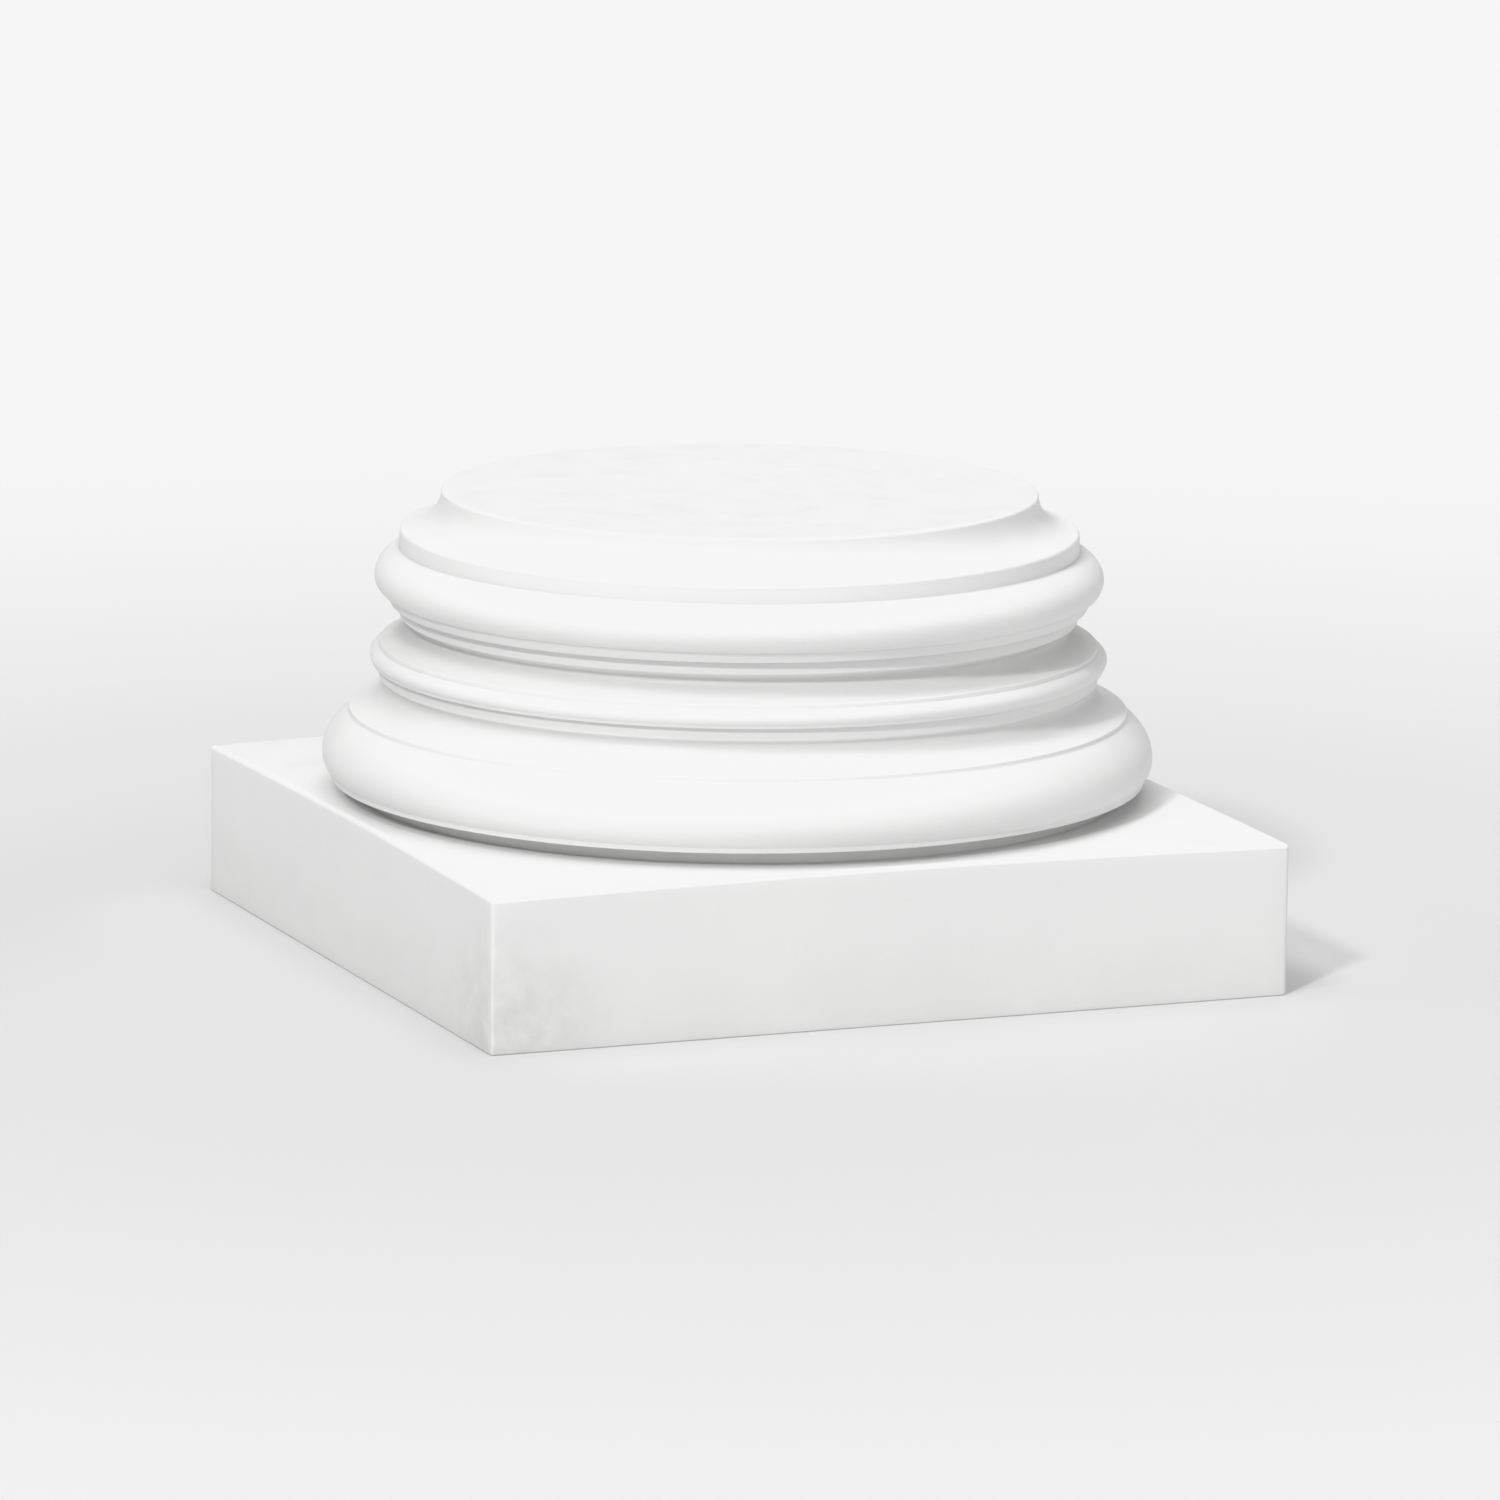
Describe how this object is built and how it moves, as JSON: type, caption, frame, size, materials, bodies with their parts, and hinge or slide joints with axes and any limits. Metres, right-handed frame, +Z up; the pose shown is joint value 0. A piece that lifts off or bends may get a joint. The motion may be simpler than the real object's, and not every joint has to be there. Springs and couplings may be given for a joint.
{
  "type": "column base",
  "caption": "Classical column base: square plinth under a turned base of tori, hollows and a bead, with a flat round seat for a column shaft on top.",
  "frame": {"origin": "centre of the plinth's underside, on the surface that the base stands on", "axes": "+Z up along the turning axis, through the centre of the shaft seat; X and Y square to the plinth's sides"},
  "size_m": [0.33, 0.33, 0.1822],
  "materials": {
    "primed_casting": "smooth white factory primer on cast rigid polyurethane foam, satin to matt, soft arrises"
  },
  "bodies": {
    "root": {"column_base": "primed_casting"}
  },
  "joints": []
}
